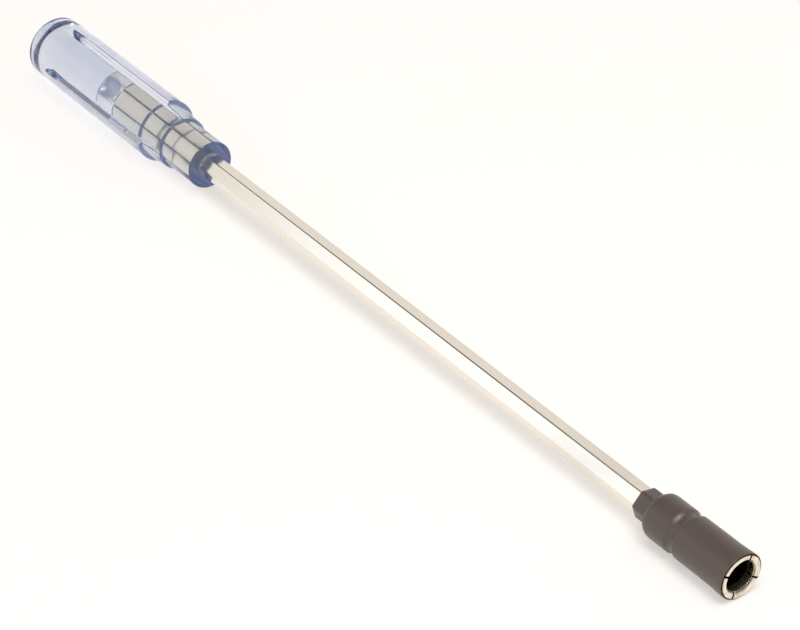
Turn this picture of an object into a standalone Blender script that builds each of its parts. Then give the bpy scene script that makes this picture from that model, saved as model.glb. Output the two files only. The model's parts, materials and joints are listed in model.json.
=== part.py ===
"""Valve cap installation tool: a clear fluted handle, a long hex shank and a
sprung collet socket under a heat-shrunk sleeve.

The tool is modelled along its own axis, with X running from the butt of the
handle to the mouth of the collet. The axis hangs on one empty that lays the
tool down on z = 0, on two lobes of the handle and the rim of the sleeve.
"""

import math

import bmesh
import bpy
from mathutils import Matrix

MM = 0.001

# Handle: turned from clear bar, with four flutes, a stepped front and a blind hole
HANDLE_LENGTH = 88.9 * MM
HANDLE_RADIUS = 9.5 * MM
BUTT_DOME_RADIUS = 14.0 * MM
BUTT_FLAT_RADIUS = 2.5 * MM
BUTT_RIM_RADIUS = 7.6 * MM
BUTT_RIM_END = 3.9 * MM
NOSE_LENGTH = 14.2 * MM
NOSE_RADIUS = 7.1 * MM
NOSE_EDGE = 0.4 * MM
STEP_LENGTH = 9.0 * MM
STEP_RADIUS = 8.5 * MM
STEP_TAPER = 0.65 * MM
STEP_EDGE = 0.5 * MM
BODY_EDGE = 0.4 * MM
FLUTE_COUNT = 4
FLUTE_RADIUS = 1.4 * MM
FLUTE_FLOOR = 7.55 * MM
FLUTE_START = 10.9 * MM
HANDLE_ROLL = 45.0
HOLE_RADIUS = 3.75 * MM
HOLE_DEPTH = 51.5 * MM

# Shank: quarter-inch hexagon bar
HEX_ACROSS_FLATS = 6.35 * MM
HEX_EDGE = 0.45 * MM
HEX_END_CHAMFER = 0.5 * MM
HEX_ROLL = 49.0
SHANK_IN_HANDLE = 42.5 * MM
SHANK_EXPOSED = 188.1 * MM
SHANK_IN_SOCKET = 6.5 * MM

# Collet: a turned body with a hex drive, and four saw-cut fingers with a serrated bore
SOCKET_BEHIND_MOUTH = 28.2 * MM
SOCKET_RADIUS = 5.55 * MM
SOCKET_EDGE = 1.2 * MM
NECK_BEHIND_MOUTH = 18.9 * MM
NECK_WIDTH = 2.4 * MM
NECK_RADIUS = 5.1 * MM
WEB_THICKNESS = 1.5 * MM
BORE_ROOT_RADIUS = 4.45 * MM
BORE_TIP_RADIUS = 4.05 * MM
BORE_TEETH = 48
BEAD_RADIUS = 5.75 * MM
BEAD_LENGTH = 2.2 * MM
MOUTH_EDGE = 0.12 * MM
MOUTH_CHAMFER_RADIUS = 4.75 * MM
MOUTH_CHAMFER_DEPTH = 0.65 * MM
FINGER_COUNT = 4
SLOT_WIDTH = 0.6 * MM
SLOT_ROLL = 64.6

# Sleeve: heat-shrunk over the collet and the end of the shank
SLEEVE_LENGTH = 33.5 * MM
SLEEVE_WALL = 0.27 * MM
SLEEVE_BACKSET = 0.3 * MM
COLLAR_LENGTH = 4.5 * MM
COLLAR_WALL = 0.45 * MM
COLLAR_CORNER = 1.3 * MM
SHOULDER_LENGTH = 2.5 * MM
FLARE_LENGTH = 6.0 * MM

# Clearances between pieces that touch on the real tool
SEAT_GAP = 0.15 * MM
FINGER_GAP = 0.2 * MM

ROUND_STEPS = 64
SLEEVE_STEPS = 48
FLUTE_STEPS = 20
ARC_STEPS = 5

# Stations along the axis, from the butt
NOSE_FACE = HANDLE_LENGTH
STEP_FRONT = NOSE_FACE - NOSE_LENGTH
BODY_FRONT = STEP_FRONT - STEP_LENGTH
SLEEVE_START = NOSE_FACE + SHANK_EXPOSED
SLEEVE_END = SLEEVE_START + SLEEVE_LENGTH
MOUTH = SLEEVE_END + SLEEVE_BACKSET
SOCKET_START = MOUTH - SOCKET_BEHIND_MOUTH
NECK_CENTRE = MOUTH - NECK_BEHIND_MOUTH
FINGER_ROOT = NECK_CENTRE + FINGER_GAP / 2
SHANK_FRONT = SOCKET_START + SHANK_IN_SOCKET
SLEEVE_RIM_RADIUS = BEAD_RADIUS + FINGER_GAP + SLEEVE_WALL

# The finger turns about the middle of the thin wall at its root
HINGE_RADIUS = (NECK_RADIUS + BORE_ROOT_RADIUS) / 2


def clear_scene():
    for leftover in list(bpy.data.objects):
        bpy.data.objects.remove(leftover, do_unlink=True)


def principled(name, colour, roughness, metallic=0.0, transmission=0.0):
    material = bpy.data.materials.new(name)
    material.use_nodes = True
    shader = material.node_tree.nodes["Principled BSDF"]
    shader.inputs["Base Color"].default_value = (*colour, 1.0)
    shader.inputs["Roughness"].default_value = roughness
    shader.inputs["Metallic"].default_value = metallic
    shader.inputs["Transmission Weight"].default_value = transmission
    return material


def arc(centre, radius_x, radius_r, start, end, steps=ARC_STEPS):
    """Points (x, r) on an ellipse; angles in degrees from +x towards +r."""
    points = []
    for step in range(steps + 1):
        angle = math.radians(start + (end - start) * step / steps)
        points.append((centre[0] + radius_x * math.cos(angle), centre[1] + radius_r * math.sin(angle)))
    return points


def bend(start, corner, end, steps=ARC_STEPS):
    """Points (x, r) that round the corner between start and end."""
    points = []
    for step in range(1, steps + 1):
        t = step / steps
        shares = ((1 - t) ** 2, 2 * t * (1 - t), t ** 2)
        points.append(tuple(sum(s * p[i] for s, p in zip(shares, (start, corner, end))) for i in (0, 1)))
    return points


def turned(profile, steps=ROUND_STEPS):
    """Solid of revolution about X from a closed or axis-to-axis (x, r) profile."""
    bm = bmesh.new()
    verts = [bm.verts.new((x, 0.0, r)) for x, r in profile]
    edges = [bm.edges.new(pair) for pair in zip(verts, verts[1:])]
    if profile[0][1] > 0.0 and profile[-1][1] > 0.0:
        edges.append(bm.edges.new((verts[-1], verts[0])))
    bmesh.ops.spin(bm, geom=verts + edges, cent=(0, 0, 0), axis=(1, 0, 0), angle=math.tau,
                   steps=steps, use_merge=True)
    bmesh.ops.remove_doubles(bm, verts=bm.verts, dist=0.001 * MM)
    bmesh.ops.recalc_face_normals(bm, faces=bm.faces)
    return bm


def prism(outline, start, end):
    """Extrude a (y, z) outline along X."""
    bm = bmesh.new()
    verts = [bm.verts.new((start, y, z)) for y, z in outline]
    face = bm.faces.new(verts)
    extruded = bmesh.ops.extrude_face_region(bm, geom=[face])
    front = [item for item in extruded["geom"] if isinstance(item, bmesh.types.BMVert)]
    bmesh.ops.translate(bm, verts=front, vec=(end - start, 0, 0))
    bmesh.ops.recalc_face_normals(bm, faces=bm.faces)
    return bm


def hexagon(across_flats):
    """Corners of a hexagon in (y, z), with one flat facing +Z."""
    corner_radius = across_flats / 2 / math.cos(math.radians(30))
    corners = []
    for corner in range(6):
        angle = math.radians(30 + 60 * corner)
        corners.append((-corner_radius * math.sin(angle), corner_radius * math.cos(angle)))
    return corners


def place(name, bm, material=None, parent=None, location=(0, 0, 0), roll=0.0):
    """Object for a piece; roll in degrees turns +Z towards -Y about the tool's axis."""
    mesh = bpy.data.meshes.new(name)
    bm.to_mesh(mesh)
    bm.free()
    mesh.shade_smooth()
    mesh.set_sharp_from_angle(angle=math.radians(30))
    if material:
        mesh.materials.append(material)
    piece = bpy.data.objects.new(name, mesh)
    bpy.context.collection.objects.link(piece)
    piece.parent = parent
    piece.location = location
    piece.rotation_euler = (math.radians(roll), 0, 0)
    return piece


def cutter(name, bm, parent, location=(0, 0, 0), roll=0.0):
    tool = place(name, bm, parent=parent, location=location, roll=roll)
    tool.hide_render = True
    tool.display_type = "WIRE"
    return tool


def boolean(piece, tool, operation):
    modifier = piece.modifiers.new(tool.name, "BOOLEAN")
    modifier.object = tool
    modifier.operation = operation
    modifier.solver = "EXACT"


def empty(name, parent=None, location=(0, 0, 0), rotation=(0, 0, 0)):
    frame = bpy.data.objects.new(name, None)
    bpy.context.collection.objects.link(frame)
    frame.parent = parent
    frame.location = location
    frame.rotation_euler = rotation
    return frame


def flute_half_angle():
    """Angle from a flute's centre to the lobe edge beside it."""
    flute_centre = FLUTE_FLOOR + FLUTE_RADIUS
    squares = HANDLE_RADIUS ** 2 + flute_centre ** 2 - FLUTE_RADIUS ** 2
    return math.acos(squares / (2 * HANDLE_RADIUS * flute_centre))


def lay_down():
    """Empty for the tool's axis, at the slope that rests handle and sleeve on z = 0."""
    handle_height = HANDLE_RADIUS * math.cos(flute_half_angle())
    contact = BODY_FRONT - BODY_EDGE
    slope = math.atan2(handle_height - SLEEVE_RIM_RADIUS, SLEEVE_END - contact)
    centre_x = MOUTH / 2 * math.cos(slope)
    centre_z = contact * math.sin(slope) + handle_height * math.cos(slope)
    return empty("tool_axis", location=(-centre_x, 0, centre_z), rotation=(0, slope, 0))


def flute_cutter():
    """Round-ended rod that cuts one flute and runs out past the front step."""
    end = STEP_FRONT + 2 * FLUTE_RADIUS
    start = FLUTE_START + FLUTE_RADIUS
    profile = arc((end, 0.0), FLUTE_RADIUS, FLUTE_RADIUS, 0, 90)
    profile += arc((start, 0.0), FLUTE_RADIUS, FLUTE_RADIUS, 90, 180)
    profile[0] = (profile[0][0], 0.0)
    profile[-1] = (profile[-1][0], 0.0)
    return turned(profile, FLUTE_STEPS)


def make_handle(axis):
    flat_angle = math.asin(BUTT_FLAT_RADIUS / BUTT_DOME_RADIUS)
    rim_angle = math.asin(BUTT_RIM_RADIUS / BUTT_DOME_RADIUS)
    dome_centre = (BUTT_DOME_RADIUS * math.cos(flat_angle), 0.0)
    butt = arc(dome_centre, BUTT_DOME_RADIUS, BUTT_DOME_RADIUS,
               180 - math.degrees(flat_angle), 180 - math.degrees(rim_angle))
    rim_corner = (butt[-1][0] + (HANDLE_RADIUS - BUTT_RIM_RADIUS) * math.tan(rim_angle), HANDLE_RADIUS)
    butt += bend(butt[-1], rim_corner, (BUTT_RIM_END, HANDLE_RADIUS))
    body = arc((BODY_FRONT - BODY_EDGE, HANDLE_RADIUS - BODY_EDGE), BODY_EDGE, BODY_EDGE, 90, 0, 2)
    step_centre = (STEP_FRONT - STEP_EDGE, STEP_RADIUS - STEP_TAPER - STEP_EDGE)
    step = arc(step_centre, STEP_EDGE, STEP_EDGE, 90, 0)
    nose = arc((NOSE_FACE - NOSE_EDGE, NOSE_RADIUS - NOSE_EDGE), NOSE_EDGE, NOSE_EDGE, 90, 0, 3)
    profile = [(0.0, 0.0)] + butt + body + [(BODY_FRONT, STEP_RADIUS)]
    profile += step + [(STEP_FRONT, NOSE_RADIUS)] + nose + [(NOSE_FACE, 0.0)]
    acetate = principled("clear_blue_acetate", (0.72, 0.80, 0.93), 0.08, transmission=0.9)
    handle = place("handle", turned(profile), acetate, axis, roll=HANDLE_ROLL)

    flute_centre = FLUTE_FLOOR + FLUTE_RADIUS
    for flute in range(FLUTE_COUNT):
        angle = math.radians(HANDLE_ROLL + (flute + 0.5) * 360 / FLUTE_COUNT)
        spot = (0, -flute_centre * math.sin(angle), flute_centre * math.cos(angle))
        boolean(handle, cutter(f"flute_cutter_{flute + 1}", flute_cutter(), axis, spot), "DIFFERENCE")

    hole_end, hole_mouth = NOSE_FACE - HOLE_DEPTH, NOSE_FACE + NOSE_LENGTH
    hole = turned([(hole_end, 0.0), (hole_end, HOLE_RADIUS), (hole_mouth, HOLE_RADIUS), (hole_mouth, 0.0)])
    boolean(handle, cutter("shank_hole_cutter", hole, axis), "DIFFERENCE")


def make_shank(axis):
    bm = prism(hexagon(HEX_ACROSS_FLATS), NOSE_FACE - SHANK_IN_HANDLE, SHANK_FRONT)
    ends = [edge for edge in bm.edges if abs(edge.verts[0].co.x - edge.verts[1].co.x) < MM]
    bmesh.ops.bevel(bm, geom=ends, affect="EDGES", offset=HEX_END_CHAMFER, segments=1,
                    profile=0.5, material=-1)
    long_edges = [edge for edge in bm.edges if abs(edge.verts[0].co.x - edge.verts[1].co.x) > 10 * MM]
    bmesh.ops.bevel(bm, geom=long_edges, affect="EDGES", offset=HEX_EDGE, offset_type="WIDTH",
                    segments=3, profile=0.5, material=-1)
    nickel = principled("plated_steel", (0.82, 0.79, 0.73), 0.16, metallic=1.0)
    place("hex_shank", bm, nickel, axis, roll=HEX_ROLL)


def make_socket_body(axis):
    """Rear of the collet: hex drive behind, web across, and the root of the thin neck in front."""
    front = NECK_CENTRE - FINGER_GAP / 2
    neck_start = NECK_CENTRE - NECK_WIDTH / 2
    web_front = SHANK_FRONT + SEAT_GAP + WEB_THICKNESS
    rear_centre = (SOCKET_START + SOCKET_EDGE, SOCKET_RADIUS - SOCKET_EDGE)
    profile = [(SOCKET_START, 0.0)] + arc(rear_centre, SOCKET_EDGE, SOCKET_EDGE, 180, 90)
    profile += [(neck_start - SOCKET_RADIUS + NECK_RADIUS, SOCKET_RADIUS), (neck_start, NECK_RADIUS)]
    profile += [(front, NECK_RADIUS), (front, BORE_ROOT_RADIUS)]
    profile += [(web_front, BORE_ROOT_RADIUS), (web_front, 0.0)]
    brass = principled("nickelled_brass", (0.80, 0.74, 0.62), 0.22, metallic=1.0)
    body = place("socket_body", turned(profile), brass, axis, roll=SLOT_ROLL)

    drive = prism(hexagon(HEX_ACROSS_FLATS + 2 * SEAT_GAP), SLEEVE_START, SHANK_FRONT + SEAT_GAP)
    boolean(body, cutter("hex_drive_cutter", drive, axis, roll=HEX_ROLL), "DIFFERENCE")


def finger_outline():
    """Quarter ring with V serrations inside and saw-cut sides, centred on +Z."""
    reach = BEAD_RADIUS + FINGER_GAP
    half_turn = math.pi / FINGER_COUNT
    outer_half = half_turn - math.asin(SLOT_WIDTH / 2 / reach)
    inner_half = half_turn - math.asin(SLOT_WIDTH / 2 / BORE_ROOT_RADIUS)
    polar = []
    arc_points = ROUND_STEPS // FINGER_COUNT
    for point in range(arc_points + 1):
        polar.append((reach, outer_half - 2 * outer_half * point / arc_points))
    pitch = math.tau / BORE_TEETH
    teeth = BORE_TEETH // FINGER_COUNT
    polar.append((BORE_ROOT_RADIUS, -inner_half))
    for tooth in range(teeth):
        tip = -half_turn + (tooth + 0.5) * pitch
        polar.append((BORE_TIP_RADIUS, tip))
        if tooth < teeth - 1:
            polar.append((BORE_ROOT_RADIUS, tip + pitch / 2))
    polar.append((BORE_ROOT_RADIUS, inner_half))
    return [(-radius * math.sin(angle), radius * math.cos(angle)) for radius, angle in polar]


def finger_envelope():
    """Turned outline that the four fingers share: neck, barrel, bead and chamfered mouth."""
    neck_end = NECK_CENTRE + NECK_WIDTH / 2
    bead_start = MOUTH - BEAD_LENGTH
    bead_rise = BEAD_RADIUS - SOCKET_RADIUS
    profile = [(FINGER_ROOT, BORE_TIP_RADIUS - FINGER_GAP), (FINGER_ROOT, NECK_RADIUS)]
    profile += [(neck_end, NECK_RADIUS), (neck_end + SOCKET_RADIUS - NECK_RADIUS, SOCKET_RADIUS)]
    profile += [(bead_start, SOCKET_RADIUS), (bead_start + 2 * bead_rise, BEAD_RADIUS)]
    profile += arc((MOUTH - MOUTH_EDGE, BEAD_RADIUS - MOUTH_EDGE), MOUTH_EDGE, MOUTH_EDGE, 90, 0, 2)
    chamfer_slope = MOUTH_CHAMFER_DEPTH / (MOUTH_CHAMFER_RADIUS - BORE_TIP_RADIUS)
    inner_radius = BORE_TIP_RADIUS - FINGER_GAP
    inner_depth = (MOUTH_CHAMFER_RADIUS - inner_radius) * chamfer_slope
    profile += [(MOUTH, MOUTH_CHAMFER_RADIUS), (MOUTH - inner_depth, inner_radius)]
    return turned(profile)


def make_fingers(axis):
    envelope = cutter("finger_envelope", finger_envelope(), axis, roll=SLOT_ROLL)
    nickel = principled("nickelled_finger", (0.84, 0.79, 0.68), 0.2, metallic=1.0)
    for finger in range(FINGER_COUNT):
        turn = SLOT_ROLL + (finger + 0.5) * 360 / FINGER_COUNT
        angle = math.radians(turn)
        spot = (FINGER_ROOT, -HINGE_RADIUS * math.sin(angle), HINGE_RADIUS * math.cos(angle))
        hinge = empty(f"finger_{finger + 1}_hinge", axis, spot, (angle, 0, 0))
        bm = prism(finger_outline(), FINGER_ROOT - MM, MOUTH + MM)
        bmesh.ops.transform(bm, matrix=Matrix.Translation((-FINGER_ROOT, 0, -HINGE_RADIUS)), verts=bm.verts)
        boolean(place(f"finger_{finger + 1}", bm, nickel, hinge), envelope, "INTERSECT")


def soft_hexagon_radius(apothem, corner, angle):
    """Polar radius of a hexagon with rounded corners; angle from the middle of a flat."""
    within = abs((angle + math.pi / 6) % (math.pi / 3) - math.pi / 6)
    reach = (apothem - corner) / math.cos(math.pi / 6)
    if apothem * math.tan(within) <= reach * math.sin(math.pi / 6):
        return apothem / math.cos(within)
    off = math.pi / 6 - within
    return reach * math.cos(off) + math.sqrt(corner ** 2 - (reach * math.sin(off)) ** 2)


def sleeve_stations():
    """(x, inner radius, outer radius, share of hexagon) from the shank to the mouth."""
    collar_inner = HEX_ACROSS_FLATS / 2 + SEAT_GAP
    collar_outer = collar_inner + COLLAR_WALL
    barrel_inner = SOCKET_RADIUS + FINGER_GAP
    barrel_outer = barrel_inner + SLEEVE_WALL
    collar_end = SLEEVE_START + COLLAR_LENGTH
    stations = [(SLEEVE_START, collar_inner, collar_outer, 1.0)]
    stations.append((collar_end, collar_inner, collar_outer, 0.9))
    shoulder_steps = 6
    for step in range(1, shoulder_steps + 1):
        part = step / shoulder_steps
        rise = math.sin(math.radians(90 * part))
        x = collar_end + SHOULDER_LENGTH * (1 - math.cos(math.radians(90 * part)))
        inner = collar_inner + (barrel_inner - collar_inner) * rise
        outer = collar_outer + (barrel_outer - collar_outer) * rise
        stations.append((x, inner, outer, 0.9 * (1 - part)))
    groove = SOCKET_RADIUS - NECK_RADIUS
    for along, depth in ((-1.6, 0.0), (-0.8, 0.75), (0.0, 1.0), (0.8, 0.75), (1.6, 0.0)):
        x = NECK_CENTRE + along * NECK_WIDTH / 2
        stations.append((x, barrel_inner - depth * groove, barrel_outer - depth * groove, 0.0))
    flare = BEAD_RADIUS - SOCKET_RADIUS
    for along, rise in ((1.0, 0.0), (0.6, 0.35), (0.25, 0.9), (0.0, 1.0)):
        x = SLEEVE_END - along * FLARE_LENGTH
        stations.append((x, barrel_inner + rise * flare, barrel_outer + rise * flare, 0.0))
    return stations


def sleeve_ring(bm, x, radius, corner, hexness):
    """Loop of vertices; its flats line up with the shank's."""
    loop = []
    for step in range(SLEEVE_STEPS):
        angle = math.tau * step / SLEEVE_STEPS
        flat = soft_hexagon_radius(radius, corner, angle)
        r = radius + (flat - radius) * hexness
        loop.append(bm.verts.new((x, -r * math.sin(angle), r * math.cos(angle))))
    return loop


def make_sleeve(axis):
    bm = bmesh.new()
    stations = sleeve_stations()
    outer = [sleeve_ring(bm, x, radius, COLLAR_CORNER, share) for x, bore, radius, share in stations]
    inner = [sleeve_ring(bm, x, bore, HEX_EDGE + SEAT_GAP, share) for x, bore, radius, share in stations]
    rings = outer + inner[::-1]
    for first, second in zip(rings, rings[1:] + rings[:1]):
        for side in range(SLEEVE_STEPS):
            along = (side + 1) % SLEEVE_STEPS
            bm.faces.new((first[side], first[along], second[along], second[side]))
    bmesh.ops.recalc_face_normals(bm, faces=bm.faces)
    rubber = principled("black_shrink_tube", (0.045, 0.042, 0.04), 0.55)
    place("shrink_sleeve", bm, rubber, axis, roll=HEX_ROLL)


clear_scene()
tool_axis = lay_down()
make_handle(tool_axis)
make_shank(tool_axis)
make_socket_body(tool_axis)
make_fingers(tool_axis)
make_sleeve(tool_axis)
bpy.context.view_layer.update()
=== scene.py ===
import json
import math

import bmesh
import bpy
from mathutils import Matrix, Vector


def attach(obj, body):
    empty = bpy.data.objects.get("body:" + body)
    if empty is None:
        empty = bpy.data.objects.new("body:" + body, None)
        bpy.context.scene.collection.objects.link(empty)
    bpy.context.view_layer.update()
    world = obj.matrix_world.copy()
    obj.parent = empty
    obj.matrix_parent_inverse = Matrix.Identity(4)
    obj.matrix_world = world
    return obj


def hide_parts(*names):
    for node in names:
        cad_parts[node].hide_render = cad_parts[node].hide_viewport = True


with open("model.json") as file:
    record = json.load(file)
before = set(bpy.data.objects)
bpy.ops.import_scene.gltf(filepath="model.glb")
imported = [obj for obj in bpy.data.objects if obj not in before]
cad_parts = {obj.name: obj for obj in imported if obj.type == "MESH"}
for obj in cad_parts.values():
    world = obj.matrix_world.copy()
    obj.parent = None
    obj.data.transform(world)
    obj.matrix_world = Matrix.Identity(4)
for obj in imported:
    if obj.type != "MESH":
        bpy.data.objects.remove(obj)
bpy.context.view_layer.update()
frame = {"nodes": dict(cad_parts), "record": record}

mm = 0.001
hair = 0.01                                    # in mm: places this close together are one place

# the tool's own axis: +X runs from the butt of the handle to the mouth, as the record's butt face says
buttFace = next(m for m in frame["record"]["mounts"] if m["name"] == "butt_face")
axisX = -Vector(buttFace["axis"]).normalized()
axisY = Vector((0, 1, 0))
axisZ = axisX.cross(axisY)
toolPlace = Matrix((axisX, axisY, axisZ)).transposed().to_4x4()
toolPlace.translation = Vector(buttFace["pos_m"])


def smooth(low, high, value):                  # 0 below low, 1 above high
    t = min(1.0, max(0.0, (value - low) / (high - low)))
    return t * t * (3 - 2 * t)


def spaced(start, gap, count):
    return [start + gap * step for step in range(count)]


def fromNearest(angle, pitch):                 # how far an angle lies from the nearest multiple of the pitch
    return abs((angle + pitch / 2) % pitch - pitch / 2)


def roundCorner(centreX, centreR, radius, start, end, steps):      # arc of an outline, degrees from +x to +r
    points = []
    for step in range(steps + 1):
        a = math.radians(start + (end - start) * step / steps)
        points.append((centreX + radius * math.cos(a), centreR + radius * math.sin(a)))
    return points


# radius of a hexagon with rounded corners, at an angle from the middle of a flat
def softHexagon(flat, corner, angle):
    side = math.pi / 3
    within = fromNearest(angle, side)
    reach = (flat - corner) / math.cos(side / 2)
    if flat * math.tan(within) <= reach / 2:
        return flat / math.cos(within)
    off = side / 2 - within
    return reach * math.cos(off) + math.sqrt(corner ** 2 - (reach * math.sin(off)) ** 2)


def lathe(outline, steps, closed=False):       # spins (x, r) points in mm about the tool's axis
    bm = bmesh.new()
    verts = [bm.verts.new((x * mm, 0, max(0.0, r) * mm)) for x, r in outline]
    edges = [bm.edges.new(pair) for pair in zip(verts, verts[1:])]
    if closed:
        edges.append(bm.edges.new((verts[-1], verts[0])))
    bmesh.ops.spin(bm, geom=verts + edges, cent=(0, 0, 0), axis=(1, 0, 0), angle=math.tau, steps=steps,
                   use_merge=True)
    bmesh.ops.remove_doubles(bm, verts=bm.verts, dist=0.1 * hair * mm)
    bmesh.ops.recalc_face_normals(bm, faces=bm.faces)
    return bm


def polar(vert):                               # (x, r) in mm and the angle from +Z towards -Y
    x, y, z = vert.co / mm
    return x, math.hypot(y, z), math.atan2(-y, z)


def setPolar(vert, x, r, angle):
    vert.co = Vector((x, -r * math.sin(angle), r * math.cos(angle))) * mm


def finishPiece(name, bm, material, body, node, sharp, broad=1.0):
    bmesh.ops.transform(bm, matrix=toolPlace, verts=bm.verts)
    mesh = bpy.data.meshes.new(name)
    bm.to_mesh(mesh)
    bm.free()
    mesh.shade_smooth()
    mesh.set_sharp_from_angle(angle=math.radians(sharp))
    for face in mesh.polygons:
        face.use_smooth = face.area < broad    # in square metres; broader flats keep their own normal
    mesh.materials.append(material)
    piece = bpy.data.objects.new(name, mesh)
    bpy.context.collection.objects.link(piece)
    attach(piece, body)
    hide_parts(node)
    print("piece", name, len(mesh.polygons), "faces")


class Wire:                                    # a node socket that takes part in sums
    def __init__(self, finish, socket):
        self.finish = finish
        self.socket = socket

    def combine(self, operation, first, second):
        return self.finish.add("ShaderNodeMath", {"operation": operation}, {0: first, 1: second})

    def __add__(self, other):
        return self.combine("ADD", self, other)

    def __radd__(self, other):
        return self.combine("ADD", other, self)

    def __sub__(self, other):
        return self.combine("SUBTRACT", self, other)

    def __rsub__(self, other):
        return self.combine("SUBTRACT", other, self)

    def __mul__(self, other):
        return self.combine("MULTIPLY", self, other)

    def __rmul__(self, other):
        return self.combine("MULTIPLY", other, self)

    def __pow__(self, other):
        return self.combine("POWER", self, other)

    def __rpow__(self, other):
        return self.combine("POWER", other, self)


class Finish:                                  # one material's node tree
    def __init__(self, name, owner=None):
        self.owner = owner or bpy.data.materials.new(name)
        self.owner.use_nodes = True
        self.tree = self.owner.node_tree
        self.tree.nodes.clear()

    def add(self, kind, settings=None, sockets=None, out=0):
        node = self.tree.nodes.new(kind)
        for key, value in (settings or {}).items():
            setattr(node, key, value)
        for key, value in (sockets or {}).items():
            if isinstance(value, Wire):
                self.tree.links.new(value.socket, node.inputs[key])
            else:
                node.inputs[key].default_value = value
        return Wire(self, node.outputs[out])

    def blend(self, share, first, second):     # 6 and 7 are the mix node's colours, and 2 is the mixed one
        return self.add("ShaderNodeMix", {"data_type": "RGBA"}, {0: share, 6: first, 7: second}, 2)

    def most(self, first, second):
        return self.add("ShaderNodeMath", {"operation": "MAXIMUM"}, {0: first, 1: second})

    def ease(self, value, low, high):          # 0 below low, 1 above high
        settings = {"interpolation_type": "SMOOTHSTEP"}
        return self.add("ShaderNodeMapRange", settings, {0: value, 1: low, 2: high})

    def place(self):
        return self.add("ShaderNodeTexCoord", None, None, "Object")

    def along(self, vector, letter):           # one of a vector's three numbers
        return self.add("ShaderNodeSeparateXYZ", None, {0: vector}, letter)

    def attribute(self, name):                 # a number that the mesh carries at its vertices
        return self.add("ShaderNodeAttribute", {"attribute_name": name}, None, "Fac")

    def ray(self, kind):                       # 1 where this kind of ray meets the surface
        return self.add("ShaderNodeLightPath", None, None, kind)

    def noise(self, scale, detail, stretch=(1, 1, 1), roughness=0.5):
        spot = self.add("ShaderNodeMapping", None, {"Vector": self.place(), "Scale": stretch})
        sockets = {"Vector": spot, "Scale": scale, "Detail": detail, "Roughness": roughness}
        return self.add("ShaderNodeTexNoise", None, sockets)

    def bump(self, height, strength, distance):
        sockets = {"Height": height, "Strength": strength, "Distance": distance}
        return self.add("ShaderNodeBump", None, sockets)

    def surface(self, shader, volume=None):
        end = self.tree.nodes.new("ShaderNodeOutputMaterial")
        self.tree.links.new(shader.socket, end.inputs["Surface"])
        if volume:
            self.tree.links.new(volume.socket, end.inputs["Volume"])
        return self.owner


# in the looks below, a pattern is a noise's scale, detail and stretch, an ease is where a smooth rise starts
# and ends, and a relief is a bump's strength and its height in metres

# clear pale-blue acetate: its end faces look deep blue because they are seen along the bar, and that deep
# blue is also painted onto the end walls as shade in their colour
acetateLook = {
    "bend": 1.49,
    "absorb": (0.0, 0.15, 0.48, 1.0),
    "density": 19.0,
    "tint": (1.0, 1.0, 1.0, 1.0),
    "endShadeTint": (0.42, 0.45, 0.62, 1.0),
    "roughness": 0.012,
    "endRoughness": 0.05,
    "crazedRoughness": 0.85,
    "crazedPattern": (1300, 3.0),
    "crazedEase": (0.35, 0.55),
    "drilledRoughness": 0.18,
    "wavePattern": (160, 2.0, (0.25, 1, 1)),
    "drawnPattern": (1100, 2.0, (0.012, 1, 1)),            # fine lines along the bar
    "drawnShare": 0.12,
    "relief": (0.1, 0.0003),
    "lampTint": (0.88, 0.91, 0.96, 1.0),
}


def acetate():
    look = acetateLook
    f = Finish("clearBlueAcetate")
    endWall, crazed, drilled = (f.attribute(name) for name in ("endWall", "crazed", "drilled"))
    # painted shade: the end walls' colour is darkened towards the deep blue that is seen along the bar
    tint = f.blend(endWall, look["tint"], look["endShadeTint"])
    crazed = crazed * f.ease(f.noise(*look["crazedPattern"]), *look["crazedEase"])
    rough = look["roughness"] + endWall * look["endRoughness"]
    rough = rough + crazed * look["crazedRoughness"] + drilled * look["drilledRoughness"]
    wave = f.noise(*look["wavePattern"]) + f.noise(*look["drawnPattern"]) * look["drawnShare"]
    glass = f.add("ShaderNodeBsdfPrincipled", None, {
        "Base Color": tint, "Roughness": rough, "IOR": look["bend"], "Transmission Weight": 1.0,
        "Normal": f.bump(wave, *look["relief"])})
    clear = f.add("ShaderNodeBsdfTransparent", None, {"Color": look["lampTint"]})
    shader = f.add("ShaderNodeMixShader", None, {0: f.ray("Is Shadow Ray"), 1: glass, 2: clear})
    inside = f.add("ShaderNodeVolumeAbsorption", None, {"Color": look["absorb"], "Density": look["density"]})
    return f.surface(shader, inside)


# sizes are in mm and degrees, and places are measured from the butt; rings are a start, a gap and a count
handleSize = {
    "length": 88.9, "bodyRadius": 9.5, "bodyEdge": 0.4, "bodyFoot": 0.12, "edgeSteps": 6, "around": 480,
    "buttDome": 14.0, "buttFlat": 2.5, "buttRim": 7.6, "buttEnd": 3.9, "domeSteps": 12, "rimSteps": 14,
    "stepLength": 9.0, "stepRear": 8.5, "stepFront": 7.85, "stepEdge": 0.5, "stepFoot": 0.15,
    "stepEdgeSteps": 10, "noseLength": 14.2, "noseRadius": 7.1, "noseEdge": 0.35, "noseRing": 5.4,
    "flutes": 4, "fluteFloor": 7.55, "fluteHalf": 8.2, "fluteWall": (0.05, 1.18), "fluteStart": 10.0,
    "fluteRunOut": 5.0, "runOutRings": (9.6, 0.3, 20), "plainRings": (20, 8, 6),
    "holeRadius": 3.75, "holeDepth": 51.5, "holeLip": 0.25, "lipRing": 0.1,
    "drillCorner": 0.8, "drillCone": 0.3, "drillTip": 0.2,
    "gripStart": 47.1, "gripRamp": 0.15, "gripBite": 0.03,
    "noseWall": 6.9, "stepWall": (7.2, 9.0), "bodyWall": (8.2, 9.6), "stepShadeShare": 0.5, "sharp": 40,
}


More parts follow.
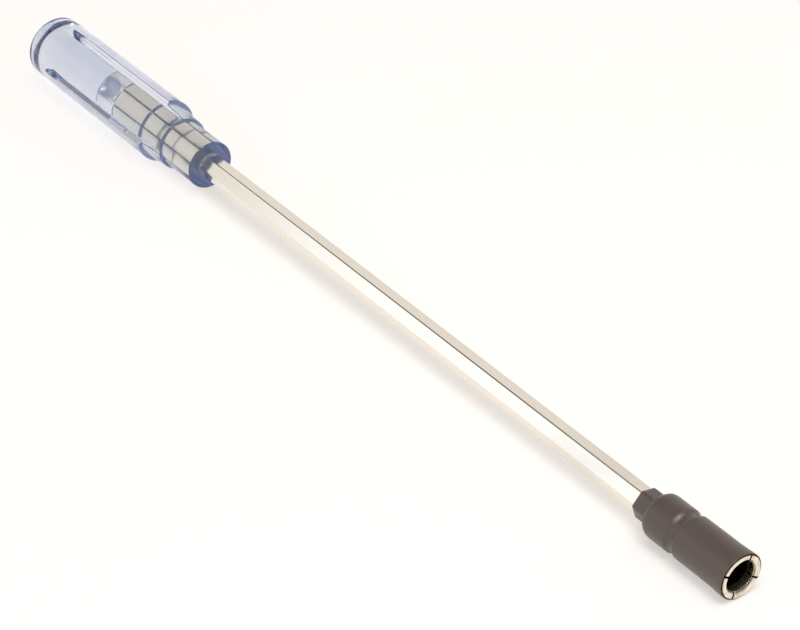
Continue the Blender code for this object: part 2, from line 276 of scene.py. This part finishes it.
def handleOutline(size):                       # from the butt along the outside, then back along the hole
    length, body, nose = size["length"], size["bodyRadius"], size["noseRadius"]
    stepX = length - size["noseLength"]
    bodyX = stepX - size["stepLength"]
    steps = size["edgeSteps"]

    dome, flat, rim = size["buttDome"], size["buttFlat"], size["buttRim"]
    centre = math.sqrt(dome ** 2 - flat ** 2)              # of the dome, which has a flat in its middle
    reach = math.sqrt(dome ** 2 - rim ** 2)
    rings = spaced(flat, (rim - flat) / size["domeSteps"], size["domeSteps"])
    line = [(0, 0)] + [(centre - math.sqrt(dome ** 2 - r * r), r) for r in rings]
    rimStart = Vector((centre - reach, rim))
    corner = Vector((rimStart.x + (body - rim) * rim / reach, body))
    rimEnd = Vector((size["buttEnd"], body))
    for step in range(size["rimSteps"] + 1):               # the rim is rounded between the dome and the bar
        t = step / size["rimSteps"]
        line.append(rimStart.lerp(corner, t).lerp(corner.lerp(rimEnd, t), t))

    line += [(x, body) for x in spaced(*size["runOutRings"]) + spaced(*size["plainRings"])]
    edge, foot = size["bodyEdge"], size["bodyFoot"]
    line += roundCorner(bodyX - edge, body - edge, edge, 90, 0, steps)
    line += [(bodyX, size["stepRear"] + foot), (bodyX + foot, size["stepRear"])]
    edge, foot = size["stepEdge"], size["stepFoot"]
    line += roundCorner(stepX - edge, size["stepFront"] - edge, edge, 90, 0, size["stepEdgeSteps"])
    line += [(stepX, nose + foot), (stepX + foot, nose)]
    edge = size["noseEdge"]
    line += roundCorner(length - edge, nose - edge, edge, 90, 0, steps)

    bore, lip, grip = size["holeRadius"], size["holeLip"], size["gripStart"]
    line += [(length, size["noseRing"]), (length, bore + lip + size["lipRing"]), (length, bore + lip)]
    line += [(length - lip, bore), (grip, bore), (grip - size["gripRamp"], bore)]
    holeEnd, edge = length - size["holeDepth"], size["drillCorner"]
    line += roundCorner(holeEnd + size["drillCone"] + edge, bore - edge, edge, 90, 180, steps)
    return line + [(holeEnd, bore / 2), (holeEnd - size["drillTip"], 0)]


def cutFlutes(bm, size):
    body, floor, start = size["bodyRadius"], size["fluteFloor"], size["fluteStart"]
    stepX = size["length"] - size["noseLength"]
    for vert in bm.verts:
        x, r, angle = polar(vert)
        if r < floor or x > stepX + hair:
            continue
        off = fromNearest(math.degrees(angle), 360 / size["flutes"])
        across = 1 - smooth(*size["fluteWall"], off / size["fluteHalf"])
        along = smooth(start, start + size["fluteRunOut"], x)
        cut = body - (body - floor) * across * along
        if cut < r:
            setPolar(vert, x, cut, angle)


# the bar is driven in tight: no air shows between it and the plastic
def gripShank(bm, size):
    bore, half = size["holeRadius"], shankSize["acrossFlats"] / 2
    roll = math.radians(shankSize["roll"])
    for vert in bm.verts:
        x, r, angle = polar(vert)
        if x > size["gripStart"] - hair and r < bore + size["holeLip"] + hair:
            bar = softHexagon(half, shankSize["edge"], angle - roll)
            setPolar(vert, x, bar - size["gripBite"] + r - bore, angle)


def buildHandle():
    size = handleSize
    bm = lathe(handleOutline(size), size["around"])
    cutFlutes(bm, size)
    endWall = bm.verts.layers.float.new("endWall")
    crazed = bm.verts.layers.float.new("crazed")           # edge of the hole, whitened by the bar
    drilled = bm.verts.layers.float.new("drilled")         # empty part of the hole, left matt by the drill
    length, lip = size["length"], size["holeRadius"] + size["holeLip"] + hair
    stepX, holeEnd = length - size["noseLength"], length - size["holeDepth"]
    walls = (                                  # each end wall's place, its radii and its share of the painted shade tint
        (length, lip, size["noseWall"], 1.0),
        (stepX, *size["stepWall"], size["stepShadeShare"]),
        (stepX - size["stepLength"], *size["bodyWall"], size["stepShadeShare"]),
    )
    for vert in bm.verts:
        x, r = polar(vert)[:2]
        shares = [share for at, low, high, share in walls if abs(x - at) < 2 * hair and low < r < high]
        vert[endWall] = sum(shares)
        vert[crazed] = float(r < lip and x > length - size["holeLip"] - hair)
        vert[drilled] = float(r < lip and holeEnd - size["drillTip"] - hair < x < size["gripStart"])
    gripShank(bm, size)
    finishPiece("clearHandle", bm, acetate(), "tool", "handle", size["sharp"])


shankSize = {
    "rear": 46.4, "front": 289.1, "acrossFlats": 6.35, "roll": 49.0, "edge": 0.42, "edgeSteps": 5,
    "endEdge": 0.5, "endSteps": 2, "sharp": 25, "broad": 300,
}

nickelLook = {
    "colour": (0.88, 0.84, 0.755, 1.0),
    "dull": (0.73, 0.68, 0.59, 1.0),
    "dullShare": 0.5,
    "hazePattern": (45, 4.0, (0.35, 1, 1)),
    "hazeEase": (0.56, 0.78),
    "streakPattern": (900, 3.0, (0.006, 1, 1)),            # drawn bar: fine lines along its length
    "roughness": 0.11,
    "streakRoughness": 0.09,
    "dullRoughness": 0.06,
    "sawnRoughness": 0.45,                     # the end in the handle is left as it was sawn
    "sawnEase": (-0.10885, -0.10865),
    "relief": (0.05, 0.0001),
}


def nickel():
    look = nickelLook
    f = Finish("brightNickel")
    streaks = f.noise(*look["streakPattern"])
    dullness = f.ease(f.noise(*look["hazePattern"]), *look["hazeEase"])
    colour = f.blend(dullness * look["dullShare"], look["colour"], look["dull"])
    sawn = 1 - f.ease(f.along(f.place(), "X"), *look["sawnEase"])
    rough = look["roughness"] + streaks * look["streakRoughness"]
    rough = rough + dullness * look["dullRoughness"] + sawn * look["sawnRoughness"]
    metal = f.add("ShaderNodeBsdfPrincipled", None, {
        "Base Color": colour, "Roughness": rough, "Metallic": 1.0,
        "Normal": f.bump(streaks, *look["relief"])})
    return f.surface(metal)


def buildShank():
    size = shankSize
    length = (size["front"] - size["rear"]) * mm
    corner = size["acrossFlats"] / 2 / math.cos(math.pi / 6) * mm
    bm = bmesh.new()
    bmesh.ops.create_circle(bm, cap_ends=True, segments=6, radius=corner)
    turn = Matrix.Rotation(math.radians(size["roll"]), 4, "X") @ Matrix.Rotation(math.radians(90), 4, "Y")
    bmesh.ops.transform(bm, matrix=Matrix.Translation((size["rear"] * mm, 0, 0)) @ turn, verts=bm.verts)
    bar = bmesh.ops.extrude_face_region(bm, geom=bm.faces[:])
    far = [v for v in bar["geom"] if isinstance(v, bmesh.types.BMVert)]
    bmesh.ops.translate(bm, verts=far, vec=(length, 0, 0))
    bmesh.ops.recalc_face_normals(bm, faces=bm.faces)
    ends = [e for e in bm.edges if e.calc_length() < length / 2]
    bmesh.ops.bevel(bm, geom=ends, affect="EDGES", offset=size["endEdge"] * mm, segments=size["endSteps"],
                    profile=0.5, material=-1)
    corners = [e for e in bm.edges if e.calc_length() > length / 2]
    bmesh.ops.bevel(bm, geom=corners, affect="EDGES", offset=size["edge"] * mm, offset_type="WIDTH",
                    segments=size["edgeSteps"], profile=0.5, material=-1)
    broad = size["broad"] * mm * mm
    finishPiece("brightShank", bm, nickel(), "tool", "hex_shank", size["sharp"], broad)


colletSize = {
    "root": 292.0, "mouth": 310.8, "neck": 5.1, "neckEnd": 293.1, "neckRise": 0.45, "barrel": 5.55,
    "bead": 5.75, "beadLength": 2.2, "beadRise": 0.4, "rimRing": 0.3, "edge": 0.1, "arcSteps": 40,
    "fingers": 4, "slot": 0.6, "slotRoll": 64.6, "teeth": 12, "toothRoot": 4.45, "toothTip": 4.05,
    "tipShare": 0.06, "chamferRadius": 4.75, "chamferDepth": 0.65, "sharp": 30,
}

# the metal's own colour at the mouth, with painted shade that darkens it deep in the bore and at the roots of
# the teeth; places are in metres
boreLook = {
    "bright": (0.88, 0.82, 0.70, 1.0),
    "brassy": (0.50, 0.39, 0.24, 1.0),
    "dark": (0.012, 0.009, 0.006, 1.0),
    "mouthX": 0.1554,
    "axisZ": 0.00635,
    "deepEase": (0.0019, 0.0031),
    "wallEase": (0.0046, 0.0049),
    "rootEase": (0.00424, 0.00444),
    "rootStart": (0.0002, 0.0004),
    "rootShare": 0.7,
    "grimePattern": (600, 3.0),
    "grimeEase": (0.35, 0.75),
    "grimeShare": 0.6,
    "roughness": 0.16,
    "grimeRoughness": 0.12,
    "darkRoughness": 0.4,
    "grainPattern": (1500, 2.0),
    "relief": (0.08, 0.00008),
}


def mouthNickel():
    look = boreLook
    f = Finish("mouthNickel")
    x, y, z = (f.along(f.place(), letter) for letter in "XYZ")
    up = z - look["axisZ"]
    radius = (y * y + up * up) ** 0.5
    depth = look["mouthX"] - x
    inside = 1 - f.ease(radius, *look["wallEase"])
    root = f.ease(radius, *look["rootEase"]) * f.ease(depth, *look["rootStart"])
    # painted shade: the colour goes dark deep in the bore and in the roots between the teeth
    dark = f.most(f.ease(depth, *look["deepEase"]), root * look["rootShare"]) * inside
    grime = f.ease(f.noise(*look["grimePattern"]), *look["grimeEase"])
    metalColour = f.blend(grime * look["grimeShare"], look["bright"], look["brassy"])
    rough = look["roughness"] + grime * look["grimeRoughness"] + dark * look["darkRoughness"]
    metal = f.add("ShaderNodeBsdfPrincipled", None, {
        "Base Color": f.blend(dark, metalColour, look["dark"]), "Roughness": rough, "Metallic": 1.0,
        "Normal": f.bump(f.noise(*look["grainPattern"]), *look["relief"])})
    return f.surface(metal)


def fingerOutline(size):                       # (radius, angle) round one finger, with None for the outer arc
    half = math.pi / size["fingers"]
    outer = half - math.asin(size["slot"] / 2 / size["barrel"])
    inner = half - math.asin(size["slot"] / 2 / size["toothRoot"])
    arcSteps = size["arcSteps"]
    points = [(None, outer - 2 * outer * step / arcSteps) for step in range(arcSteps + 1)]
    points.append((size["toothRoot"], -inner))
    pitch = 2 * half / size["teeth"]
    halfTip = size["tipShare"] * pitch
    for tooth in range(size["teeth"]):
        tip = (tooth + 0.5) * pitch - half
        points += [(size["toothTip"], tip - halfTip), (size["toothTip"], tip + halfTip)]
        if tooth < size["teeth"] - 1:
            points.append((size["toothRoot"], tip + pitch / 2))
    points.append((size["toothRoot"], inner))
    return points


def buildFinger(number, material):
    size = colletSize
    mouth, chamfer, neckEnd = size["mouth"], size["chamferDepth"], size["neckEnd"]
    neck, barrel, bead = size["neck"], size["barrel"], size["bead"]
    beadX = mouth - size["beadLength"]
    stations = (                               # places along the finger, and its outer radius there
        (size["root"], neck), (neckEnd, neck), (neckEnd + size["neckRise"], barrel),
        (beadX, barrel), (beadX + size["beadRise"], bead), (mouth - chamfer, bead),
        (mouth - size["rimRing"], bead), (mouth - size["edge"], bead), (mouth, bead - size["edge"]),
    )
    outline = fingerOutline(size)
    bm = bmesh.new()
    front = bm.faces.new([bm.verts.new((0, 0, 0)) for point in outline])
    for index, (x, outer) in enumerate(stations):
        if index:
            front = bmesh.ops.extrude_discrete_faces(bm, faces=[front])["faces"][0]
        depth = max(0.0, (x - mouth + chamfer) / chamfer)
        funnel = size["toothTip"] + (size["chamferRadius"] - size["toothTip"]) * depth
        for loop, (radius, angle) in zip(front.loops, outline):
            setPolar(loop.vert, x, outer if radius is None else max(radius, funnel), angle)
    bmesh.ops.recalc_face_normals(bm, faces=bm.faces)
    turn = math.radians(size["slotRoll"] + (number - 0.5) * 360 / size["fingers"])
    bmesh.ops.rotate(bm, verts=bm.verts, cent=(0, 0, 0), matrix=Matrix.Rotation(turn, 3, "X"))
    name = f"finger_{number}"
    finishPiece(f"colletFinger{number}", bm, material, name, name, size["sharp"])


sleeveSize = {
    "start": 277.0, "end": 310.5, "barrel": 6.02, "wall": 0.27, "skin": 0.15, "around": 240, "sharp": 50,
    "collarEnd": 281.5, "collarFlat": 3.775, "collarCorner": 1.3, "innerCorner": 0.6,
    "collarRings": (0.25, 1.2, 2.4, 4.0, 4.3), "collarWall": 0.45, "wallChange": 0.4, "startEdge": 0.18,
    "shankFlat": 3.325, "shankGap": 0.02, "shoulder": 2.5, "shoulderSteps": 14, "hexFade": (-0.6, 1.875),
    "barrelRings": ((285.5, 1.5, 3), (289.4, 0.4, 1), (289.8, 0.2, 22), (295, 2, 5), (304.2, 0.3, 21)),
    "groove": 291.9, "grooveDepth": 0.45, "grooveHalf": 1.75, "grooveFloor": 0.25,
    "rim": 6.22, "rimEdge": 0.1, "rimInner": 0.08, "flareLength": 6.0, "flareEnd": 0.5,
    "dimple": 0.28, "dimpleInner": 0.5, "dimpleAt": 292.4, "dimpleLength": 0.9, "dimpleAngle": 7.5,
    "ripples": ((0.012, 3, 0.35), (0.01, 7, -0.6)), "rippleStart": (284, 286), "rippleEnd": (309, 310.4),
}

tubeLook = {
    "colour": (0.078, 0.058, 0.048, 1.0),
    "worn": (0.15, 0.125, 0.11, 1.0),
    "scuffPattern": (420, 5.0, (0.25, 1, 1), 0.6),
    "scuffEase": (0.62, 0.8),
    "scuffShare": 0.4,
    "speckPattern": (1400, 2.0),
    "speckEase": (0.66, 0.8),
    "speckShare": 0.25,
    "cloudPattern": (120, 4.0, (0.6, 1, 1)),
    "roughness": 0.30,
    "cloudRoughness": 0.14,
    "scuffRoughness": 0.06,
    "grainPattern": (2200, 3.0),
    "grainShare": 0.5,
    "relief": (0.16, 0.00012),
}


def shrinkTube():
    look = tubeLook
    f = Finish("shrinkTube")
    cloud = f.noise(*look["cloudPattern"])
    speck = f.ease(f.noise(*look["speckPattern"]), *look["speckEase"])
    scuff = f.ease(f.noise(*look["scuffPattern"]), *look["scuffEase"])
    wear = scuff * look["scuffShare"] + speck * look["speckShare"]
    rough = look["roughness"] + cloud * look["cloudRoughness"] - scuff * look["scuffRoughness"]
    grain = f.noise(*look["grainPattern"])
    skin = cloud * (1 - look["grainShare"]) + grain * look["grainShare"]
    tube = f.add("ShaderNodeBsdfPrincipled", None, {
        "Base Color": f.blend(wear, look["colour"], look["worn"]), "Roughness": rough,
        "Normal": f.bump(skin, *look["relief"])})
    return f.surface(tube)


def sleeveRadius(size, x):                     # outside of the tube along the tool
    flat, barrel, end = size["collarFlat"], size["barrel"], size["end"]
    if x < size["collarEnd"]:
        return flat
    t = (x - size["collarEnd"]) / size["shoulder"]
    if t < 1:
        return flat + (barrel - flat) * math.sqrt(1 - (1 - t) ** 2)
    off = abs(x - size["groove"]) / size["grooveHalf"]
    dip = size["grooveDepth"] * (1 - smooth(size["grooveFloor"], 1.0, off))
    flare = (size["rim"] - barrel) * smooth(end - size["flareLength"], end - size["flareEnd"], x)
    return barrel - dip + flare


def sleeveOutline(size):                       # along the outside, round the rim and back along the inside
    start, end, collarEnd = size["start"], size["end"], size["collarEnd"]
    places = [start + ring for ring in size["collarRings"]]
    for step in range(size["shoulderSteps"] + 1):
        turn = math.radians(90 * step / size["shoulderSteps"])
        places.append(collarEnd + size["shoulder"] * (1 - math.cos(turn)))
    for rings in size["barrelRings"]:          # closest together where the tube bends
        places += spaced(*rings)
    outer = [(x, sleeveRadius(size, x)) for x in places]
    rim, edge, inside = size["rim"], size["rimEdge"], size["rim"] - size["wall"]
    lip = [(end - 0.5 * edge, rim - 0.2 * edge), (end, rim - edge)]
    lip += [(end, inside + size["rimInner"]), (end - size["rimInner"], inside)]
    inner = []
    for x, r in reversed(outer):
        wall = size["wall"] if x > collarEnd + size["wallChange"] else size["collarWall"]
        inner.append((x, r - wall))
    front = [(start, size["collarFlat"] - size["startEdge"])]
    return front + outer + lip + inner + [(start, size["shankFlat"] + size["shankGap"])]


def buildSleeve():
    size = sleeveSize
    bm = lathe(sleeveOutline(size), size["around"], closed=True)
    fadeStart, fadeEnd = (size["collarEnd"] + edge for edge in size["hexFade"])
    flat, roll = size["collarFlat"], math.radians(shankSize["roll"])
    for vert in bm.verts:
        x, r, angle = polar(vert)
        outside = r > sleeveRadius(size, x) - size["skin"]
        share = 1 - smooth(fadeStart, fadeEnd, x)
        if share:                              # the collar follows the hexagon of the bar
            corner = size["collarCorner"] if outside else size["innerCorner"]
            r *= 1 + (softHexagon(flat, corner, angle - roll) / flat - 1) * share
        if outside:
            share = smooth(*size["rippleStart"], x) * (1 - smooth(*size["rippleEnd"], x))
            for height, waves, twist in size["ripples"]:
                r += height * math.sin(waves * angle + twist * x) * share
        offSlot = fromNearest(math.degrees(angle) - colletSize["slotRoll"], 360 / colletSize["fingers"])
        across, along = offSlot / size["dimpleAngle"], (x - size["dimpleAt"]) / size["dimpleLength"]
        sink = size["dimple"] * math.exp(-across ** 2 - along ** 2)
        setPolar(vert, x, r - sink * (1 if outside else size["dimpleInner"]), angle)
    finishPiece("shrinkSleeve", bm, shrinkTube(), "tool", "shrink_sleeve", size["sharp"])


# floor and the pale studio round it; the flag is a dark card that the metal mirrors
studio = {
    "floorHalf": 4.0, "floor": (0.95, 0.91, 0.875, 1.0), "white": (1.0, 0.965, 0.935, 1.0), "lift": 0.5,
    "sky": (1.0, 0.955, 0.91, 1.0), "low": 0.86, "high": 0.46, "skyEase": (0.48, 0.68),
    "flagAt": (-0.671, 0.05, 0.74), "flagWide": 30.0, "flagFull": 16.0, "flagDark": 0.9,
}


def paleFloor():
    f = Finish("paleFloor")
    seen = f.most(f.most(f.ray("Is Camera Ray"), f.ray("Is Glossy Ray")), f.ray("Is Transmission Ray"))
    matt = f.add("ShaderNodeBsdfDiffuse", None, {"Color": studio["floor"]})
    glow = f.add("ShaderNodeEmission", None, {"Color": studio["white"], "Strength": 1.0})
    return f.surface(f.add("ShaderNodeMixShader", None, {0: seen * studio["lift"], 1: matt, 2: glow}))


def buildStudio():
    bm = bmesh.new()
    bmesh.ops.create_grid(bm, x_segments=1, y_segments=1, size=studio["floorHalf"])
    mesh = bpy.data.meshes.new("floor")
    bm.to_mesh(mesh)
    bm.free()
    mesh.materials.append(paleFloor())
    floor = bpy.data.objects.new("floor", mesh)
    bpy.context.collection.objects.link(floor)

    world = bpy.data.worlds.new("studio")
    bpy.context.scene.world = world
    f = Finish("studio", world)
    toward = f.add("ShaderNodeTexCoord", None, None, "Generated")
    fall = f.ease(f.along(toward, "Z"), *studio["skyEase"])
    directions = {0: toward, 1: studio["flagAt"]}
    near = f.add("ShaderNodeVectorMath", {"operation": "DOT_PRODUCT"}, directions, "Value")
    wide, full = (math.cos(math.radians(studio[edge])) for edge in ("flagWide", "flagFull"))
    flag = f.ease(near, wide, full) * (1 - f.ray("Is Transmission Ray"))          # clear pieces don't show it
    level = (studio["low"] + fall * (studio["high"] - studio["low"])) * (1 - flag * studio["flagDark"])
    sky = f.add("ShaderNodeBackground", None, {"Color": studio["sky"], "Strength": level})
    end = f.tree.nodes.new("ShaderNodeOutputWorld")
    f.tree.links.new(sky.socket, end.inputs["Surface"])
    print("studio ready")


lamps = {
    "overhead": {"spot": (0.30, -0.12, 1.25), "aim": (0.05, 0.0, 0.0), "size": (1.0, 1.0), "watts": 9.8,
                 "colour": (0.955, 0.985, 1.0)},
    "leftCard": {"spot": (-0.43, -0.66, 0.44), "aim": (0.08, 0.0, 0.0), "size": (0.52, 0.36), "watts": 0.30,
                 "colour": (0.65, 0.8, 1.0)},
    "frontHigh": {"spot": (0.45, -0.12, 0.92), "aim": (0.12, 0.0, 0.0), "size": (0.3, 0.3), "watts": 2.2,
                  "colour": (1.0, 0.985, 0.96)},
}


def hangLamps():
    for name, lamp in lamps.items():
        light = bpy.data.lights.new(name, "AREA")
        light.shape = "RECTANGLE"
        light.size, light.size_y = lamp["size"]
        light.energy = lamp["watts"]
        light.color = lamp["colour"]
        holder = bpy.data.objects.new(name, light)
        bpy.context.collection.objects.link(holder)
        holder.location = lamp["spot"]
        toward = Vector(lamp["aim"]) - Vector(lamp["spot"])
        holder.rotation_euler = toward.to_track_quat("-Z", "Y").to_euler()
        print("lamp", name)


# focal and imageWidth in pixels, sensor and aside (right, up) in mm, the rest in metres and degrees
view = {
    "focal": 2700, "imageWidth": 800, "sensor": 36, "nearest": 0.01, "distance": 0.7,
    "aim": (0.0245, 0.0, 0.0079), "aside": (-0.32, -0.41), "azimuth": 53.7, "elevation": 33.6, "roll": 0.17,
}


def placeCamera():
    lens = bpy.data.cameras.new("photoView")
    lens.sensor_width = view["sensor"]
    lens.lens = view["focal"] / view["imageWidth"] * view["sensor"]
    lens.clip_start = view["nearest"]
    camera = bpy.data.objects.new("photoView", lens)
    bpy.context.collection.objects.link(camera)
    around, above = math.radians(view["azimuth"]), math.radians(view["elevation"])
    level = Vector((math.sin(around), -math.cos(around), 0))
    outward = level * math.cos(above) + Vector((0, 0, math.sin(above)))
    right = Vector((math.cos(around), math.sin(around), 0))
    aside, up = view["aside"]
    aim = Vector(view["aim"]) + (right * aside + outward.cross(right) * up) * mm
    turn = (-outward).to_track_quat("-Z", "Y").to_matrix().to_4x4()
    turn = turn @ Matrix.Rotation(math.radians(view["roll"]), 4, "Z")
    camera.matrix_world = Matrix.Translation(aim + outward * view["distance"]) @ turn
    bpy.context.scene.camera = camera
    print("camera at", [round(c, 3) for c in camera.location])


buildHandle()
buildShank()
fingerMetal = mouthNickel()
for number in range(1, colletSize["fingers"] + 1):
    buildFinger(number, fingerMetal)
frame["nodes"]["socket_body"].material_slots[0].material = fingerMetal
buildSleeve()
buildStudio()
hangLamps()
placeCamera()
bpy.context.scene.view_settings.view_transform = "Standard"
bounces = bpy.context.scene.cycles             # light runs along the clear bar in many small reflections
bounces.max_bounces, bounces.glossy_bounces, bounces.transmission_bounces = 32, 24, 24
